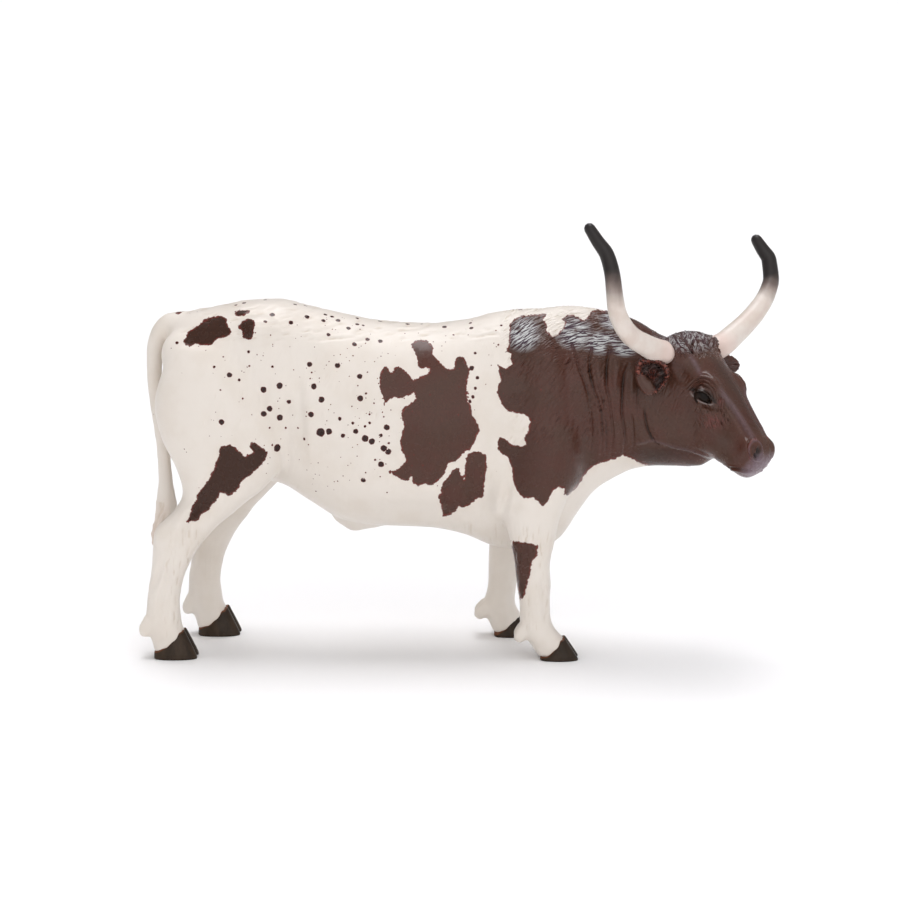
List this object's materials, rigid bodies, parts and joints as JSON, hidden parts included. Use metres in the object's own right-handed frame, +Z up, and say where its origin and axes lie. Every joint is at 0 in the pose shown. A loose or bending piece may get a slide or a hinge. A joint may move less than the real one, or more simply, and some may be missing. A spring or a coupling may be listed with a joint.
{
  "type": "toy longhorn bull figure",
  "caption": "Moulded and painted toy figure of a spotted longhorn bull with wide upswept horns, head turned to its right, standing on cloven hooves.",
  "frame": {"origin": "middle of the figure's bounding box, on the floor under the hooves", "axes": "+X the way the body faces, +Y to the bull's left, +Z up"},
  "size_m": [0.1496, 0.0487, 0.1024],
  "materials": {
    "head": "chocolate-brown satin-gloss paint over sculpted skin, folds and short hair",
    "neck": "chocolate-brown satin-gloss paint over sculpted skin folds, white under the throat",
    "torso": "off-white satin paint with chocolate-brown patches and spots over moulded relief",
    "leg_hind_right": "off-white satin paint with chocolate-brown patches and spots over moulded relief",
    "leg_front_right": "off-white satin paint with chocolate-brown patches and spots over moulded relief",
    "hoof_hind_right": "brown-black satin paint, cloven",
    "hoof_front_right": "brown-black satin paint, cloven",
    "horn_right": "cream satin paint that fades to brown-black towards the tip",
    "ear_right": "red-brown satin paint, cupped, with sculpted hair inside",
    "eye_right": "glossy black-brown paint",
    "leg_hind_left": "off-white satin paint with chocolate-brown patches and spots over moulded relief",
    "leg_front_left": "off-white satin paint with chocolate-brown patches and spots over moulded relief",
    "hoof_hind_left": "brown-black satin paint, cloven",
    "hoof_front_left": "brown-black satin paint, cloven",
    "horn_left": "cream satin paint that fades to brown-black towards the tip",
    "ear_left": "red-brown satin paint, cupped, with sculpted hair inside",
    "eye_left": "glossy black-brown paint",
    "tail": "off-white satin paint with a few brown spots",
    "tail_switch": "off-white satin paint with a faint pink-beige stain in moulded locks"
  },
  "bodies": {
    "root": {"head": "head", "neck": "neck", "torso": "torso", "leg_hind_right": "leg_hind_right", "leg_front_right": "leg_front_right", "hoof_hind_right": "hoof_hind_right", "hoof_front_right": "hoof_front_right", "horn_right": "horn_right", "ear_right": "ear_right", "eye_right": "eye_right", "leg_hind_left": "leg_hind_left", "leg_front_left": "leg_front_left", "hoof_hind_left": "hoof_hind_left", "hoof_front_left": "hoof_front_left", "horn_left": "horn_left", "ear_left": "ear_left", "eye_left": "eye_left", "tail": "tail", "tail_switch": "tail_switch"}
  },
  "joints": []
}
